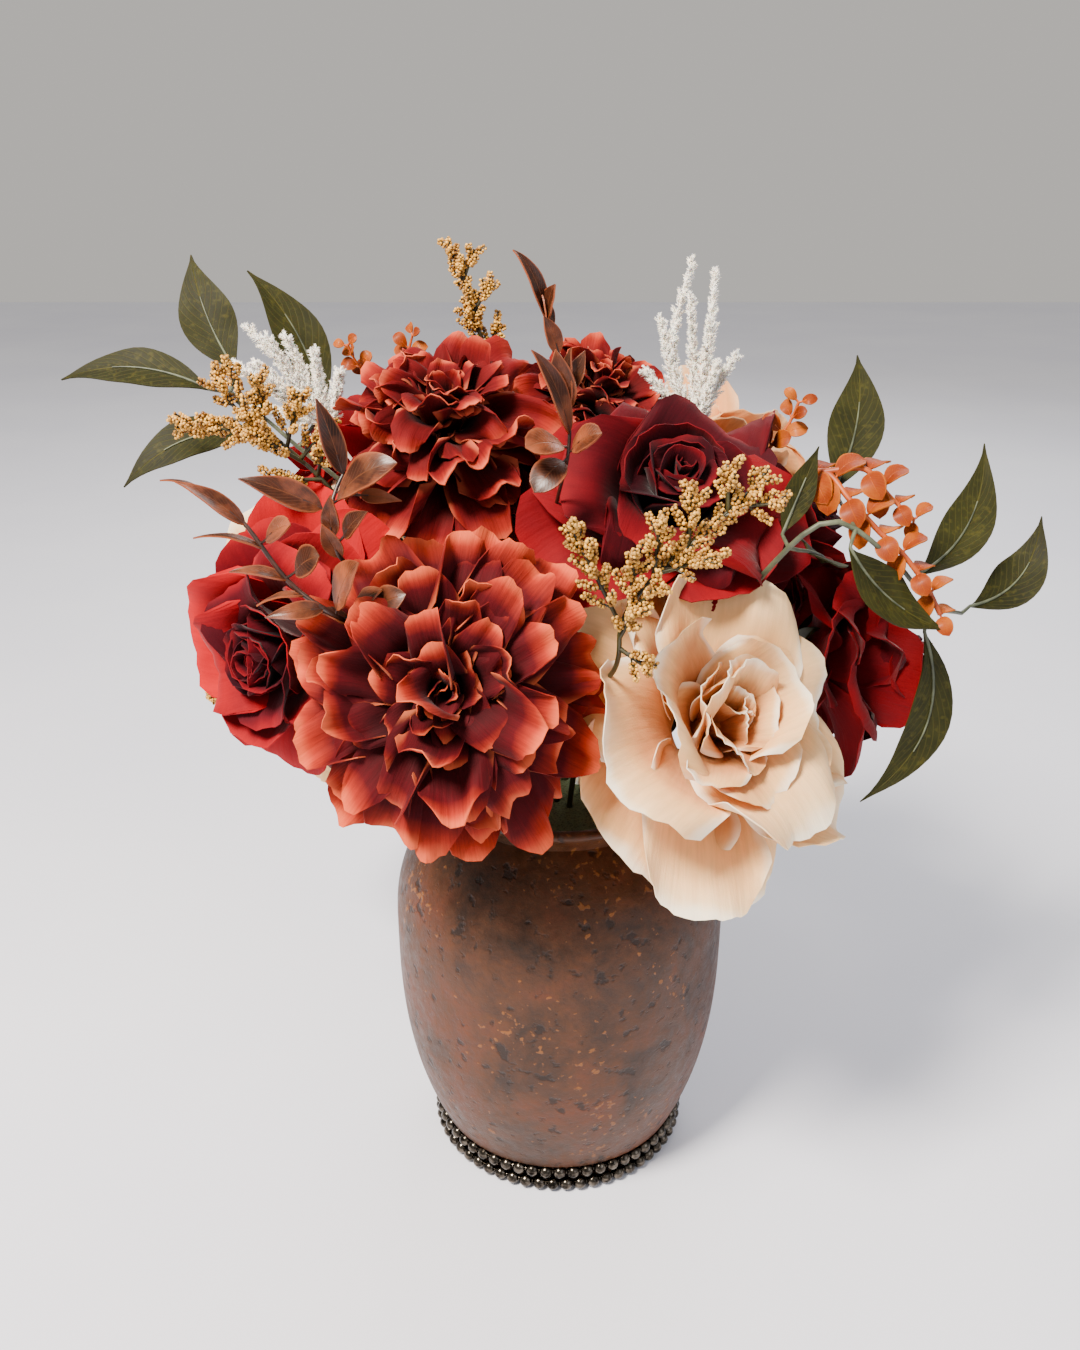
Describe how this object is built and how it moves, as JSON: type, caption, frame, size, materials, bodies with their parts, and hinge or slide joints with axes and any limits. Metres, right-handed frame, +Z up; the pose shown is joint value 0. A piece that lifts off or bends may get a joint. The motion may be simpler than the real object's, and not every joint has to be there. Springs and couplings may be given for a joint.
{
  "type": "faux flower arrangement in a vase",
  "caption": "Faux flower arrangement: dahlias, roses and peonies with leaves and sprigs, held in foam in a rust-brown vase with a beaded foot.",
  "frame": {"origin": "centre of the vase's flat underside", "axes": "+Z up along the vase's axis, -Y to the front of the arrangement, +X to its right as seen from the front"},
  "size_m": [0.3542, 0.2722, 0.3693],
  "materials": {
    "rust_glaze": "mottled rust-brown finish, satin",
    "dark_metal": "dark pewter, polished on the beads",
    "foam": "dry open-cell foam",
    "stem_green": "plastic-coated wire",
    "dahlia": "heat-set polyester, burgundy hearts and orange tips",
    "rose": "heat-set polyester, velvety red",
    "peony": "heat-set polyester, cream",
    "willow": "printed leaf cloth, olive green",
    "bronze": "moulded leaves, bronze brown",
    "gold": "moulded berry clusters, old gold",
    "pampas": "flocked plume, off-white",
    "coral": "moulded leaves, coral orange"
  },
  "bodies": {
    "root": {"beads_lower": "dark_metal", "beads_upper": "dark_metal", "bronze_front": "bronze", "bronze_side": "bronze", "bronze_top": "bronze", "coral_right": "coral", "coral_top": "coral", "coral_up": "coral", "dahlia_back": "dahlia", "dahlia_back_stem": "stem_green", "dahlia_crown": "dahlia", "dahlia_crown_stem": "stem_green", "dahlia_front": "dahlia", "dahlia_front_stem": "stem_green", "dahlia_top": "dahlia", "dahlia_top_stem": "stem_green", "foam_block": "foam", "gold_back": "gold", "gold_front": "gold", "gold_left": "gold", "gold_low": "gold", "gold_top": "gold", "leaf_back_drop": "willow", "leaf_back_low": "willow", "leaf_left_drop": "willow", "leaf_left_inner": "willow", "leaf_left_low": "willow", "leaf_left_tall": "willow", "leaf_right_arch": "willow", "leaf_right_hang": "willow", "leaf_right_inner": "willow", "leaf_right_mid": "willow", "leaf_right_small": "willow", "leaf_right_tall": "willow", "leaf_right_tip": "willow", "pampas_left": "pampas", "pampas_right": "pampas", "peony_back": "peony", "peony_back_stem": "stem_green", "peony_crown": "peony", "peony_crown_stem": "stem_green", "peony_front": "peony", "peony_front_stem": "stem_green", "peony_left": "peony", "peony_left_stem": "stem_green", "rose_back": "rose", "rose_back_stem": "stem_green", "rose_behind": "rose", "rose_behind_stem": "stem_green", "rose_centre": "rose", "rose_centre_stem": "stem_green", "rose_left": "rose", "rose_left_stem": "stem_green", "rose_right": "rose", "rose_right_stem": "stem_green", "spray_back_stem": "stem_green", "spray_left_stem": "stem_green", "spray_right_stem": "stem_green", "vase": "rust_glaze"}
  },
  "joints": []
}
